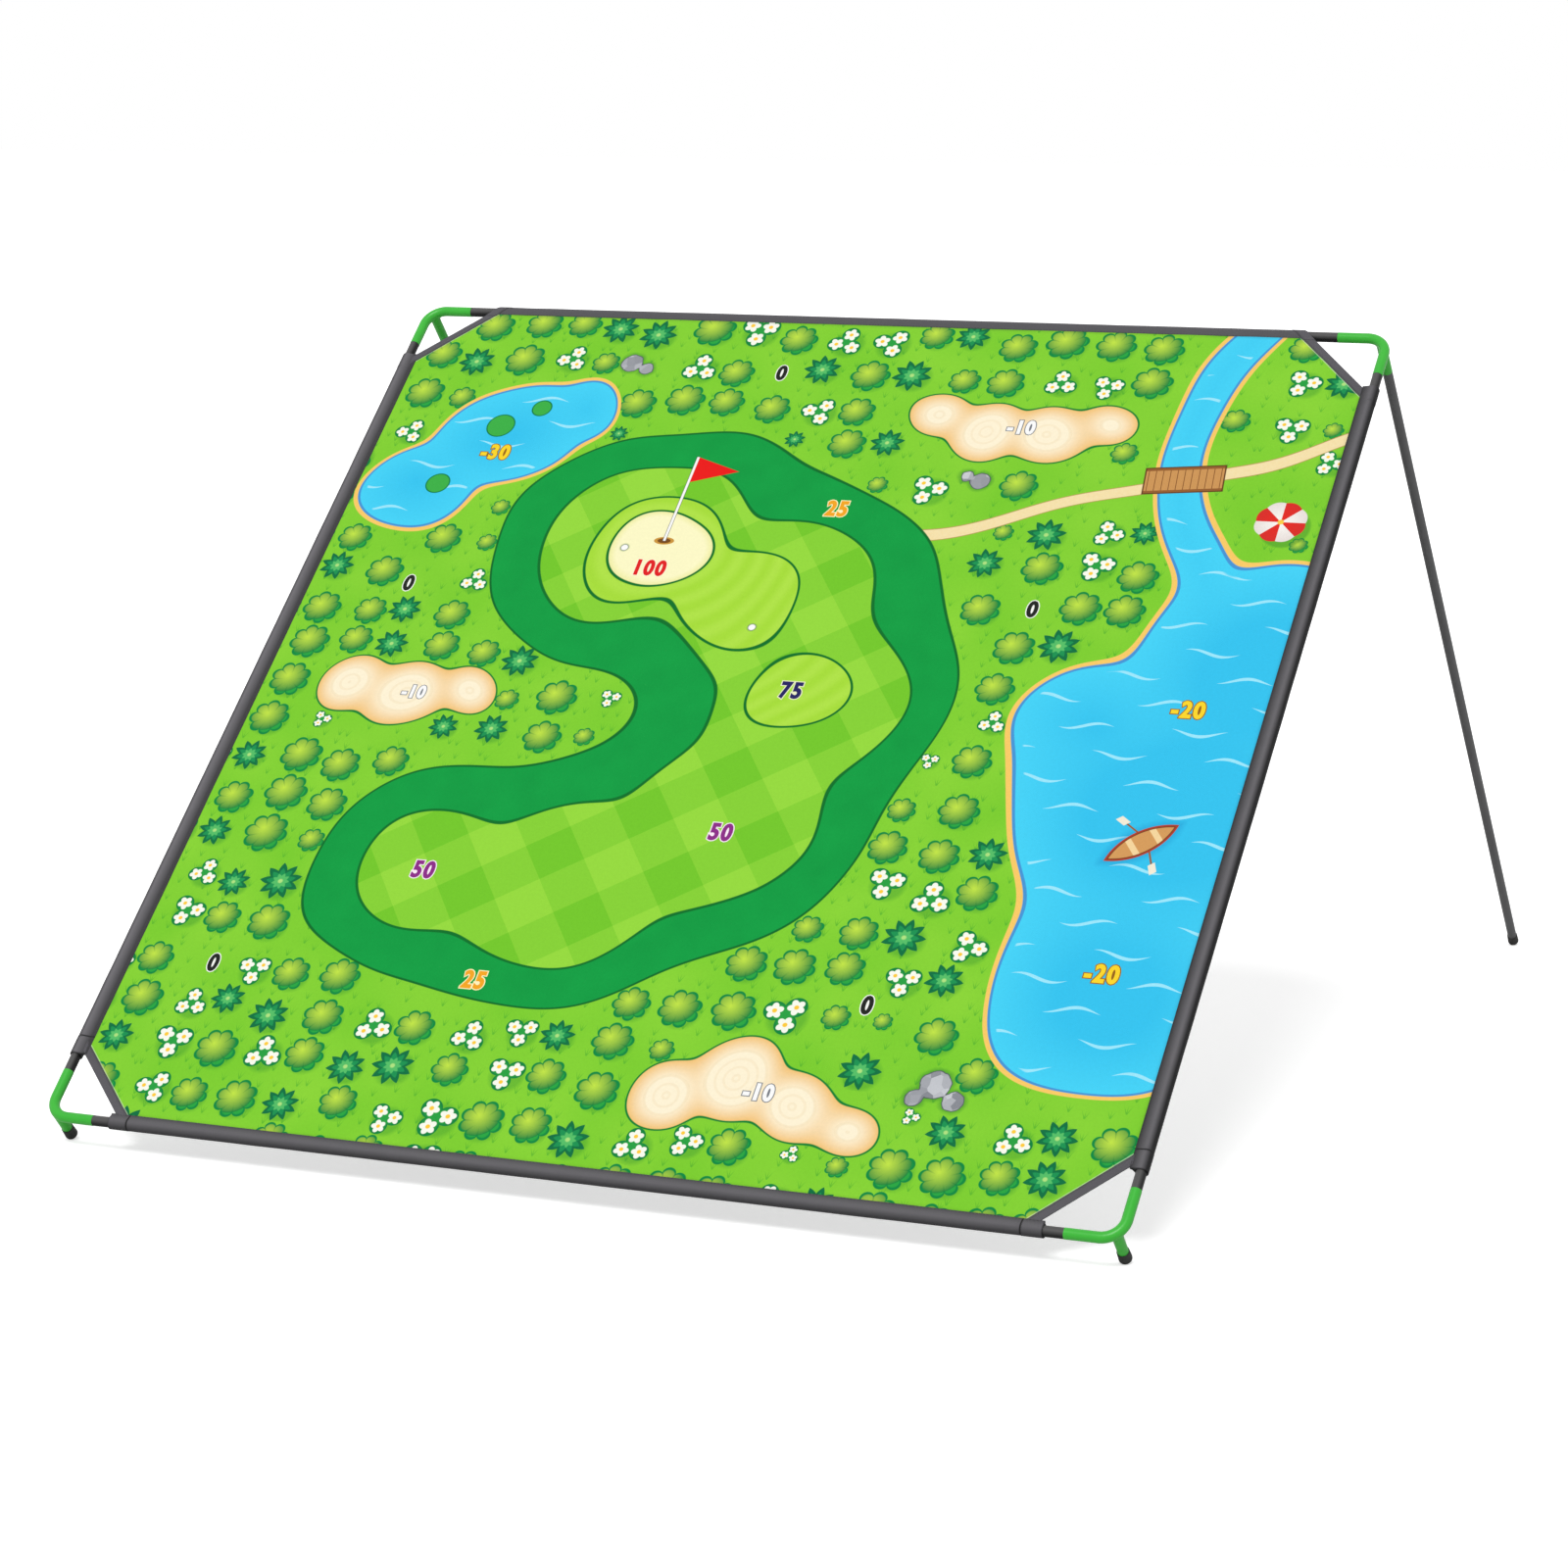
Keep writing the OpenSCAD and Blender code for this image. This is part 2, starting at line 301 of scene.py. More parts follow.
def paint(name, deep, cloud_and_highlight, gloss, dullness, highlight_share):
    """Smooth paint on steel tube, with a paler colour in clouds and as a painted highlight. This share of
    the paler colour is the painted highlight, on the side that faces up, left and to the front, and the rest
    lies in clouds."""
    made = Finish(name, deep, Specular_IOR_Level=gloss)
    # Painted highlight: the paint is paler where its surface faces up, left and to the front.
    normal = made.node("ShaderNodeNewGeometry", out="Normal")
    turned = normal.vector("DOT_PRODUCT", painted_highlight_side, out="Value").fade(0.7, 0.05)
    made.lay(highlight_share * turned + (1 - highlight_share) * made.grain(0.05, 3.0), cloud_and_highlight)
    made.set(Roughness=dullness + 0.14 * made.grain(0.012, 4.0))
    made.bump(made.grain(0.0012, 1.0), 0.00005)
    return made


# Most of the black paint's paler colour is painted highlight; the grey paint has none, only clouds.
side_paint = paint("black paint", ink(14, 14, 15), ink(86, 85, 85), 0.18, 0.3, 0.85)
leg_paint = paint("dark grey paint", ink(84, 84, 85), ink(98, 98, 99), 0.3, 0.4, 0)

for halves in side_tubes.values():
    wear(side_paint, *halves)
wear(leg_paint, "rear_leg_upper_left", "rear_leg_upper_right", "rear_leg_lower_left", "rear_leg_lower_right")


# ---- Rubber feet ----
# Moulded black caps pushed over the third arms of the lower connectors and over the ends of the legs.
# They are CAD nodes, in matt rubber with a fine moulded grain and a little dust.

rubber = Finish("matt black rubber", ink(42, 42, 43), Specular_IOR_Level=0.3)
rubber.lay(rubber.grain(0.008, 4.0), ink(62, 61, 60))
rubber.set(Roughness=0.62 + 0.2 * rubber.grain(0.004))
rubber.bump(rubber.grain(0.0007, 3.0), 0.00012)
wear(rubber, "front_foot_left", "front_foot_right", "rear_foot_left", "rear_foot_right")


# ---- Target cloth ----
# A brushed polyester loop cloth, printed with a golf course and backed with a plain pale cloth.
# Both are cut to one outline with its four corners off, and the sleeves on the tubes hold them taut.

cloth_w, cloth_h = 1.36519, 1.37179
tape_reach = 1.26512  # |x| + |y| at the inner edge of a corner's tape
cut_reach = tape_reach + 0.005  # and at the cloth's cut edge, which lies inside the tape
ply = 0.0006  # thickness of each of the two cloths
back_z = face_z - 2 * ply
cloth_rows = 170
pucker, pucker_reach = 0.0004, 0.06  # height of the cloth's ripples, and how far in they go


def from_edge(x, y):
    """Distance from a point of the cloth to its nearest edge."""
    return min(cloth_w / 2 - abs(x), cloth_h / 2 - abs(y), (cut_reach - abs(x) - abs(y)) / sqrt(2))


def slack(x, y):
    """The cloth's slight ripple near its seams, which fades out towards the middle."""
    ripple = noise.noise(Vector((x * 26, y * 26, 3.7)))
    return pucker * ripple * max(0.0, 1 - from_edge(x, y) / pucker_reach) ** 2


def every(made):
    return made.verts[:] + made.edges[:] + made.faces[:]


def thicken(made, by):
    """Gives a flat mesh a second face, by metres above the first, and walls between them."""
    raised = bmesh.ops.extrude_face_region(made, geom=made.faces[:])["geom"]
    bmesh.ops.translate(made, vec=(0, 0, by), verts=[v for v in raised if isinstance(v, bmesh.types.BMVert)])


def cloth_layer(low):
    """One cloth, from its underside at low, with a face on both sides and its cut edge between them."""
    made = bmesh.new()
    bmesh.ops.create_grid(made, x_segments=cloth_rows, y_segments=cloth_rows, size=0.5)
    bmesh.ops.scale(made, vec=(cloth_w, cloth_h, 1), verts=made.verts)
    for sx, sy in corners.values():
        bmesh.ops.bisect_plane(made, geom=every(made), dist=1e-7, plane_co=(sx * cut_reach, 0, 0),
                               plane_no=(sx, sy, 0), clear_outer=True)
    for v in made.verts:
        v.co.z = low + slack(v.co.x, v.co.y)
    thicken(made, ply)
    return made


class Print(Finish):
    """A finish printed on the flat target: x and y are in metres from its middle."""

    def __init__(self, name, colour, **sockets):
        super().__init__(name, colour, **sockets)
        turned = stand.inverted()
        flat = self.node("ShaderNodeMapping", {"Vector": self.at, "Location": turned.translation,
                                               "Rotation": turned.to_euler()})
        self.x, self.y = flat.split()
        self.at = self.point(self.x, self.y)

    def point(self, x, y):
        return self.node("ShaderNodeCombineXYZ", {"X": x, "Y": y})

    def reach(self, x, y):
        """How far the point x, y is from 0, 0."""
        return self.point(x, y).vector("LENGTH", out="Value")

    def cells(self, size, uneven, out="Position", feature="F1"):
        """Points scattered about this far apart, or what else is known of the nearest one."""
        spots = {"Vector": self.at, "Scale": 1 / size, "Randomness": uneven}
        return self.node("ShaderNodeTexVoronoi", spots, out, voronoi_dimensions="2D", feature=feature)

    def pile(self):
        """Lays the colour on brushed loops: a soft, mottled nap with a shallow relief."""
        loops = self.grain(0.0011, 3.0)
        self.lay(0.1 * self.grain(0.004, 4.0), ink(20, 60, 20))
        self.set(Roughness=0.78 + 0.14 * loops)
        self.bump(loops, 0.0003)


def pool(at, width, *rounds):
    """Distance in metres to the rim of merged circles (x, y, radius), below 0 inside them."""
    rim = None
    for x, y, radius in rounds:
        one = at.vector("DISTANCE", (x, y, 0), out="Value") - radius
        rim = rim.math("SMOOTH_MIN", one, width) if rim else one
    return rim


# The shapes of the course: circles (x, y, radius) that run together, after how far they do
fringe = (0.16, (-0.22, 0.28, 0.205), (0.00, 0.20, 0.195), (0.10, 0.03, 0.19), (0.04, -0.17, 0.19),
          (-0.14, -0.28, 0.19), (-0.33, -0.28, 0.16))
mown = (0.13, *((x, y, radius - 0.065) for x, y, radius in fringe[1:]))  # 65 mm within the fringe
inner = (0.10, (-0.205, 0.265, 0.095), (-0.05, 0.19, 0.078), (0.07, 0.045, 0.065))
cup_ring = (0.05, (-0.215, 0.27, 0.060), (-0.175, 0.255, 0.058))
lake = (0.10, (0.60, -0.10, 0.20), (0.66, 0.12, 0.17), (0.60, -0.36, 0.15), (0.47, 0.03, 0.09))
pond = (0.05, (-0.48, 0.46, 0.10), (-0.57, 0.36, 0.085), (-0.39, 0.51, 0.055))
bunkers = (
    (0.05, (0.10, -0.575, 0.050), (0.19, -0.545, 0.062), (0.28, -0.570, 0.050), (0.35, -0.595, 0.034)),
    (0.04, (-0.535, 0.02, 0.046), (-0.46, -0.005, 0.052), (-0.38, 0.005, 0.038)),
    (0.05, (0.12, 0.535, 0.040), (0.20, 0.505, 0.055), (0.29, 0.505, 0.050), (0.36, 0.535, 0.032)),
)
stones = (0.004, (0.425, -0.520, 0.020), (0.452, -0.540, 0.014), (0.404, -0.540, 0.012),
          (-0.345, 0.600, 0.016), (-0.321, 0.590, 0.011), (0.215, 0.412, 0.014), (0.195, 0.420, 0.009))
bare = (0.001, (-0.56, -0.45, 0.018), (0.31, -0.42, 0.018), (-0.12, 0.59, 0.018), (0.345, 0.20, 0.018),
        (-0.53, 0.185, 0.018))  # grass that is left for a score number
pads = (0.001, (-0.50, 0.475, 0.020), (-0.45, 0.51, 0.014), (-0.555, 0.365, 0.017))
balls = (0.001, (-0.242, 0.268, 0.0052), (-0.020, 0.145, 0.0052))
parasol = (0.001, (0.628, 0.366, 0.034))
stream_from, stream_half = 0.10, 0.028
bridge_x, bridge_y, bridge_turn = 0.486, 0.43, radians(6)
path_from, path_half = 0.10, 0.010
boat_x, boat_y, boat_turn = 0.578, -0.150, radians(38)
cup_x, cup_y = -0.190, 0.283
crisp = 0.0004  # half the width of a printed edge's blur
bold = 0.0018  # half the width of the fairway's outlines
outline = ink(6, 112, 42)
plot, stray = 0.065, 0.32  # from one plant of the rough to the next, and how unevenly they stand
least_plant, most_plant = 0.012, 0.027  # radius, before chance adds up to 5 mm to it
mow_turns, ring_turns, rake_turns = 52, 210, 520  # radians to a metre of stripes, rings and raked lines


def wander(course, at):
    """The point moved a little by slow noise, which gives the shapes read from it a hand-drawn outline."""
    drift = course.node("ShaderNodeTexNoise", {"Vector": at, "Scale": 4.5, "Detail": 0.0}, "Color")
    return at.vector("ADD", drift.vector("MULTIPLY_ADD", (0.06, 0.06, 0), (-0.03, -0.03, 0)))


def water_rim(drawn):
    """Distance to the lake's shore and to the banks of the stream that feeds it from the top."""
    x, y = drawn.split()
    bed = 0.52 + 0.05 * (y * 9.0).math("SINE")
    stream = (abs(x - bed) - stream_half).most(stream_from - y)
    return stream.math("SMOOTH_MIN", pool(drawn, *lake), 0.05)


def path_rim(drawn):
    """Distance to the footpath from the fairway over the bridge."""
    x, y = drawn.split()
    along = x - bridge_x
    track = bridge_y + 0.32 * along - 0.012 * (18 * along).math("SINE")
    return (abs(y - track) - path_half).most(path_from - x)


def clearance(course, at):
    """Distance from a point to whatever lies on the course, for planting the rough clear of it."""
    drawn = wander(course, at)
    rims = [pool(drawn, *one) for one in (fringe, pond, *bunkers)]
    rims += [pool(at, *one) for one in (stones, bare, parasol)]
    return water_rim(drawn).least(path_rim(drawn), *rims)


def line(rim, half_width):
    """A printed line along a shape's rim."""
    return abs(rim).fade(half_width - crisp, half_width + crisp)


def inside(rim, by=0.0):
    """1 inside a shape's rim, or inside a line that lies by metres within it."""
    return rim.fade(-by - crisp, -by + crisp)


course = Print("printed loop cloth", ink(112, 200, 40), Specular_IOR_Level=0.12, Sheen_Weight=0.02)
at, x, y = course.at, course.x, course.y
lay, mix, reach = course.lay, course.mix, course.reach
drawn = wander(course, at)

# The rough: lime grass with tufts, planted all over with rosettes, star firs and small flowers
lay(course.grain(0.11, 1.0), ink(146, 217, 58))
tuft_x, tuft_y = at.vector("SUBTRACT", course.cells(0.026, 0.8)).split()
tuft_y = tuft_y + 0.004
blade = abs(abs(tuft_x) - 0.45 * tuft_y).least(abs(tuft_x)) + 0.07 * tuft_y
lay(0.6 * blade.fade(0.0006, 0.0010) * (tuft_y > 0.0), ink(66, 168, 44))

centre = course.cells(plot, stray)
chance = course.node("ShaderNodeSeparateColor", {0: centre.sibling("Color")}, "Red")
chance_2, chance_3 = chance.sibling("Green"), chance.sibling("Blue")
room = course.cells(plot, stray, "Radius", "N_SPHERE_RADIUS")
size = (0.98 * plot * room).least(most_plant + 0.005 * chance_2, clearance(course, centre) - 0.002)
planted = size > least_plant
leaf_x, leaf_y = at.vector("SUBTRACT", centre).split()
spread = reach(leaf_x, leaf_y) / size
turn = leaf_y.math("ARCTAN2", leaf_x) + 2 * pi * chance_3

shade = reach(leaf_x - 0.14 * size, leaf_y + 0.16 * size) / size
lay(0.45 * shade.fade(0.72, 0.98) * planted, ink(48, 150, 44))

# A rosette of eight leaves, seen from above
lobe = abs((4 * turn).math("SINE"))
rosette = spread / (0.76 + 0.24 * lobe.math("POWER", 0.6))
sunny = reach(leaf_x + 0.2 * size, leaf_y - 0.24 * size) / size
leaf = course.node("ShaderNodeValToRGB", {0: sunny}, stops=(
    (0.0, ink(196, 230, 72)), (1.0, ink(6, 132, 62)), (0.35, ink(128, 208, 60)), (0.68, ink(40, 165, 66))))
leaf = mix((lobe < 0.22) * rosette.fade(0.95, 0.35) * 0.5, leaf, ink(6, 120, 56))
leaf = mix(1 - rosette.fade(0.84, 0.90), leaf, ink(6, 136, 66))

# A fir, seen from above as three stars, each smaller and lighter than the one below it
point_turn = (turn * 9 / pi).math("PINGPONG", 1.0)
star = spread / (0.60 + 0.40 * point_turn)
inner_star = spread / (0.66 + 0.34 * (1 - point_turn))
fir = mix(star.fade(0.68, 0.72), ink(10, 112, 66), ink(26, 146, 82))
fir = mix(inner_star.fade(0.40, 0.44), fir, ink(86, 190, 104))
fir = mix(spread.fade(0.08, 0.14), fir, ink(176, 226, 130))

# Three daisies on a three-lobed leaf
third = 2 * pi / 3
folded = turn - third * (turn / third).math("ROUND")
daisy_x = spread * folded.math("COSINE") - 0.52
daisy_y = spread * folded.math("SINE")
daisy_r = reach(daisy_x, daisy_y)
daisy_turn = 2.5 * daisy_y.math("ARCTAN2", daisy_x)
petal = daisy_r / (0.24 + 0.14 * abs(daisy_turn.math("COSINE")))
posy_rim = spread / (0.45 + 0.55 * abs((1.5 * turn).math("COSINE")))
posy = mix(posy_rim.fade(0.6, 0.9), ink(10, 130, 62), ink(40, 160, 66))
posy = mix(petal.fade(0.98, 1.06), posy, ink(250, 252, 240))
posy = mix(daisy_r.fade(0.09, 0.12), posy, ink(255, 205, 60))

is_fir = chance < 0.26
is_posy = chance > 0.84
plant_rim = course.node("ShaderNodeMix", {0: is_fir, 2: rosette, 3: star})
plant_rim = course.node("ShaderNodeMix", {0: is_posy, 2: plant_rim, 3: posy_rim.least(petal)})
plant = mix(is_posy, mix(is_fir, leaf, fir), posy)
lay(planted * plant_rim.fade(0.985, 1.015), plant)

# A sandy footpath, and grey stones in three heaps
path = path_rim(drawn)
lay(inside(path, -0.0015), ink(186, 150, 88))
lay(inside(path), mix(course.grain(0.004, 3.0), ink(240, 214, 152), ink(252, 236, 190)))
stone_rim = pool(at, *stones) + 0.006 * (course.grain(0.014) - 0.5)
facet = course.node("ShaderNodeSeparateColor", {0: course.cells(0.013, 1.0, "Color")}, "Red")
stone = mix(facet, ink(136, 138, 146), ink(202, 204, 210))
lay(0.6 * stone_rim.fade(0.0, 0.006), ink(40, 130, 44))
lay(inside(stone_rim), mix(line(stone_rim, 0.0012), stone, ink(84, 86, 94)))

# The fringe, the mown fairway in two directions, the green and the ring round the cup
fringe_rim, mown_rim, inner_rim, cup_rim = [pool(drawn, *one) for one in (fringe, mown, inner, cup_ring)]
lay(inside(fringe_rim), mix(course.grain(0.05), ink(6, 148, 62), ink(14, 164, 70)))
lay(line(fringe_rim, 0.0016), ink(6, 108, 42))
mow_one, mow_two = (x * 0.8 + y * 0.6) * mow_turns, (x * 0.6 - y * 0.8) * mow_turns
stripes = 0.5 * (mow_one.math("SINE") > 0.0) + 0.5 * (mow_two.math("SINE") > 0.0)
lay(inside(mown_rim), mix(stripes, ink(116, 200, 42), ink(150, 218, 62)))
lay(line(mown_rim, bold), outline)
rings = 0.5 + 0.5 * (cup_rim * ring_turns).math("SINE")
lay(inside(inner_rim), mix(rings, ink(166, 221, 58), ink(176, 227, 72)))
lay(line(inner_rim, bold), outline)
lay(inside(cup_rim), mix(cup_rim.fade(-0.012, 0.0), ink(240, 238, 160), ink(253, 249, 200)))
lay(line(cup_rim, bold), outline)

# The lake with its stream, and the pond: a sandy bank, a dark line of wet edge, and broken ripples
wet = water_rim(drawn).least(pool(drawn, *pond))
row_apart = 0.042
row = (y + 0.005 * (x * 75).math("SINE")) / row_apart
row_at = abs((row + 100).math("FRACT") - 0.5) * row_apart
row_turn = x * 44 + row.math("FLOOR") * 2.3
ripple = row_at < (0.0024 * row_turn.math("SINE")).most(0.0)
blue = mix(wet.fade(-0.09, 0.0), ink(70, 212, 248), ink(52, 196, 240))
blue = mix(ripple * wet.fade(-0.012, -0.010), blue, ink(158, 232, 252))
lay(inside(wet, -0.006), ink(250, 203, 104))
lay(inside(wet), ink(70, 150, 214))
lay(inside(wet, 0.0035), blue)
pad_rim = pool(at, *pads)
lay(inside(pad_rim), ink(60, 176, 70))
lay(line(pad_rim, 0.0009), ink(10, 120, 60))


def turned_from(x, y, spot_x, spot_y, by):
    """The point x, y as seen from a spot and turned by an angle."""
    x, y = x - spot_x, y - spot_y
    return x * cos(by) + y * sin(by), y * cos(by) - x * sin(by)


# A plank bridge over the stream
deck_x, deck_y = turned_from(x, y, bridge_x, bridge_y, bridge_turn)
deck = (abs(deck_x) - 0.052).most(abs(deck_y) - 0.022)
plank = abs((deck_x / 0.0095 + 100).math("FRACT") - 0.5)
wood = mix(plank.fade(0.47, 0.42), ink(206, 150, 88), ink(128, 78, 40))
lay(inside(deck), mix(abs(deck_y) > 0.017, wood, ink(150, 94, 48)))
lay(line(deck, 0.001), ink(96, 56, 28))

# A rowing boat on the lake with its oars out: its hull lies between two arcs
ahead, abeam = turned_from(x, y, boat_x, boat_y, boat_turn)
abeam = abs(abeam)
hull = reach(ahead, abeam + 0.0604) - 0.0784
oar = (abs(ahead + 0.3 * abeam - 0.008) - 0.0013 - 0.0034 * (abeam > 0.036)).most(abeam - 0.050)
seat = abs(abs(ahead - 0.004) - 0.016)
lay(0.5 * hull.fade(0.0, 0.010), ink(28, 146, 204))
lay(inside(oar), mix(abeam > 0.036, ink(150, 96, 50), ink(244, 236, 214)))
lay(inside(hull), ink(176, 62, 40))
lay(inside(hull, 0.0028), ink(104, 58, 28))
lay(inside(hull, 0.0040), mix(seat.fade(0.0035, 0.0042), ink(214, 156, 92), ink(246, 214, 158)))

# A red and white parasol, seen from above
parasol_x, parasol_y, parasol_r = parasol[1]
off_x, off_y = x - parasol_x, y - parasol_y
parasol_out = reach(off_x, off_y) / parasol_r
gore = (4 * off_y.math("ARCTAN2", off_x)).math("SINE")
dropped = reach(off_x - 0.008, off_y + 0.010) / parasol_r
panel = mix(gore > 0.0, ink(232, 38, 32), ink(253, 251, 246))
panel = mix(0.25 * parasol_out, panel, ink(150, 60, 60))
panel = mix(parasol_out.fade(0.10, 0.14), panel, ink(250, 206, 70))
lay(0.5 * dropped.fade(0.9, 1.0), ink(40, 136, 42))
lay((parasol_out / (0.94 + 0.06 * abs(gore))).fade(0.985, 1.015), panel)

# Sand bunkers with a baked rim and raked rings
for bunker in bunkers:
    rim = pool(drawn, *bunker)
    raked = ((rim * rake_turns).math("SINE") > 0.6) * rim.fade(-0.012, -0.008)
    sand = mix(rim.fade(-0.024, 0.0), ink(244, 196, 120), ink(255, 243, 214))
    lay(inside(rim, -0.0025), ink(6, 128, 52))
    lay(inside(rim), mix(0.25 * raked, sand, ink(238, 214, 168)))

# Two balls on the green, the cup, its white stick and a red pennant
ball_rim = pool(at, *balls)
lay(0.6 * ball_rim.fade(0.0, 0.003), ink(90, 150, 60))
lay(inside(ball_rim), ink(254, 254, 252))
lay(line(ball_rim, 0.0005), ink(130, 138, 130))
flag_x, flag_y = x - cup_x, y - cup_y
hole = reach(flag_x, 2.2 * flag_y)
lay(hole.fade(0.0140, 0.0148), ink(206, 150, 60))
lay(hole.fade(0.0090, 0.0098), ink(120, 74, 26))
stick = (abs(flag_x) - 0.0018).most(abs(flag_y - 0.075) - 0.075)
lay(inside(stick, -0.0007), ink(40, 44, 40))
lay(inside(stick), ink(252, 252, 250))
pennant = (abs(flag_y - 0.127) - 0.023 * (1 - flag_x / 0.066)).most(0.0018 - flag_x)
lay(inside(pennant), ink(236, 20, 22))

# The print stops just short of the tapes, where the undyed cloth shows as a pale line
edge = (tape_reach - abs(x) - abs(y)) * sqrt(0.5)
lay(0.4 * edge.fade(0.0006, 0.0012), ink(232, 240, 214))
course.pile()


def crossing(one, two, turns):
    """Crossing threads, from 0 to 1, over two coordinates in metres, with turns radians to a metre."""
    return 0.5 + 0.5 * (one * turns).math("SINE") * (two * turns).math("SINE")


backing_cloth = Print("pale backing cloth", ink(206, 207, 205), Specular_IOR_Level=0.15)
weave = crossing(backing_cloth.x, backing_cloth.y, 3600)
backing_cloth.lay(0.3 * weave + 0.5 * backing_cloth.grain(0.02, 4.0), ink(184, 186, 185))
backing_cloth.set(Roughness=0.8 + 0.1 * weave)
backing_cloth.bump(weave, 0.0001)

print_mesh = cloth_layer(face_z - ply)
map_of = print_mesh.loops.layers.uv.new("OFBake")
for patch in print_mesh.faces:
    printed = patch.calc_center_median().z > face_z - 0.3 * ply and patch.normal.z > 0.9
    map_left, map_width = (0.002, 0.966) if printed else (0.974, 0.024)
    for loop in patch.loops:
        across, up = loop.vert.co.x / cloth_w + 0.5, loop.vert.co.y / cloth_h + 0.5
        loop[map_of].uv = (map_left + map_width * across, 0.002 + 0.996 * up)
printed_cloth = finished("target_cloth_printed", course, print_mesh)
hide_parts("target_sheet")
backing = finished("target_cloth_backing", backing_cloth, cloth_layer(back_z))


# ---- Score numbers ----
# The points of each zone, cut from coloured film with a plain rim and pressed on to the print.
# A number is two flat layers: the wide rim, and the coloured figure on it.

film = 0.00006  # thickness of a layer
figure_h, cap_h = 0.0248, 0.7  # height of the larger figures, and of the font's own at size 1
figure_wide, figure_gap, figure_lean = 0.76, 1.22, -0.02  # width and spacing against the font's, and shear
layers = (("rim", 0.0029), ("figure", 0.0015))  # and how far each is swollen beyond the font's outline
inks = {
    "red": (ink(226, 24, 30), ink(255, 246, 214)), "navy": (ink(32, 26, 96), ink(236, 240, 200)),
    "purple": (ink(140, 40, 136), ink(255, 236, 250)), "orange": (ink(244, 166, 30), ink(255, 244, 190)),
    "black": (ink(24, 24, 24), ink(248, 250, 244)), "white": (ink(252, 252, 252), ink(120, 124, 132)),
    "yellow": (ink(252, 214, 40), ink(150, 96, 20)),
}
scores = (
    ("100", "red", -0.195, 0.234, 1.0), ("75", "navy", 0.066, 0.045, 1.0),
    ("50", "purple", -0.33, -0.28, 1.0), ("50", "purple", 0.045, -0.185, 1.0),
    ("25", "orange", 0.034, 0.352, 1.0), ("25", "orange", -0.20, -0.438, 1.0),
    ("-10", "white", 0.215, -0.556, 0.9), ("-10", "white", -0.452, 0.002, 0.8),
    ("-10", "white", 0.245, 0.508, 0.9), ("-20", "yellow", 0.585, 0.055, 1.0),
    ("-20", "yellow", 0.58, -0.345, 1.0), ("-30", "yellow", -0.49, 0.425, 1.0),
    *(("0", "black", x, y, 1.0) for x, y, _ in bare[1:]),
)


def doubled_area(ring):
    """Twice the area in a ring of points, below 0 if they run clockwise."""
    return sum(a.cross(b) for a, b in zip(ring, ring[1:] + ring[:1]))


def swollen(ring, by):
    """The ring with its sides moved by metres to the right of the way they run."""
    moved = []
    for a, b, c in zip(ring[-1:] + ring[:-1], ring, ring[1:] + ring[:1]):
        one, two = -(b - a).orthogonal().normalized(), -(c - b).orthogonal().normalized()
        moved.append(b + (one + two) * by / max(0.4, 1 + one.dot(two)))
    return moved


def figure_rings(body):
    """The outlines of figures, as rings of points. A zero's inner ring runs clockwise, the others don't."""
    text = bpy.data.curves.new("figures", "FONT")
    text.body = body
    text.size = figure_h / cap_h
    text.shear = figure_lean
    text.resolution_u = 4
    text.space_character = figure_gap
    text.align_x = text.align_y = "CENTER"
    text.fill_mode = "NONE"
    held = added("figures", text)
    mesh = bpy.data.meshes.new_from_object(held.evaluated_get(bpy.context.evaluated_depsgraph_get()))
    bpy.data.objects.remove(held)
    joined = {tuple(sorted(e.vertices)) for e in mesh.edges}
    rings = []
    for v in mesh.vertices:
        if (v.index - 1, v.index) not in joined:
            rings.append([])
        rings[-1].append(Vector((figure_wide * v.co.x, v.co.y)))
    bpy.data.meshes.remove(mesh)
    return rings


def cut_film(body, swell, closed):
    """A film cut round the figures, swollen by swell metres. A closed one has no opening in its zeros."""
    rings = [swollen(ring, swell) for ring in figure_rings(body)]
    outer = [ring for ring in rings if doubled_area(ring) > 0]
    inner = [] if closed else [ring[::-1] for ring in rings if doubled_area(ring) < 0]
    points, loops = [], []
    for ring in outer + inner:
        loops.append(list(range(len(points), len(points) + len(ring))))
        points += ring
    points, _, faces, _, _, owners = geometry.delaunay_2d_cdt(points, [], loops, 1, 1e-6)
    made = bmesh.new()
    verts = [made.verts.new((x, y, 0)) for x, y in points]
    for patch, rings_round in zip(faces, owners):
        if max(rings_round, default=0) < len(outer):
            made.faces.new([verts[k] for k in patch])
    bmesh.ops.remove_doubles(made, verts=made.verts, dist=4e-5)
    thicken(made, film)
    return made


def add_to(made, part):
    """Moves a mesh into another one."""
    mesh = as_mesh("part", part)
    made.from_mesh(mesh)
    bpy.data.meshes.remove(mesh)


for layer, (part, swell) in enumerate(layers):
    made = bmesh.new()
    finishes = {}
    for name, pair in inks.items():
        finishes[name] = Print(f"{name} film {part}", pair[1 - layer], Specular_IOR_Level=0.2)
        finishes[name].pile()
    order = list(finishes)
    for body, name, at_x, at_y, scale in scores:
        label = cut_film(body, swell, part == "rim")
        label.transform(Matrix.Diagonal((scale, scale, 1, 1)))
        label.transform(Matrix.Translation((at_x, at_y, face_z + film * layer)))
        for patch in label.faces:
            patch.material_index = order.index(name)
        add_to(made, label)
    piece = finished(f"score_{part}s", finishes[order[0]], made)
    for name in order[1:]:
        piece.data.materials.append(finishes[name].material)
    for patch in piece.data.polygons:
        patch.use_smooth = False


# ---- Sleeves ----
# Four strips of dark grey woven polyester, each folded round a side's tubes and sewn to the cloth.
# A turned hem stiffens each end; one row of stitches holds the hem and another runs along the seam.

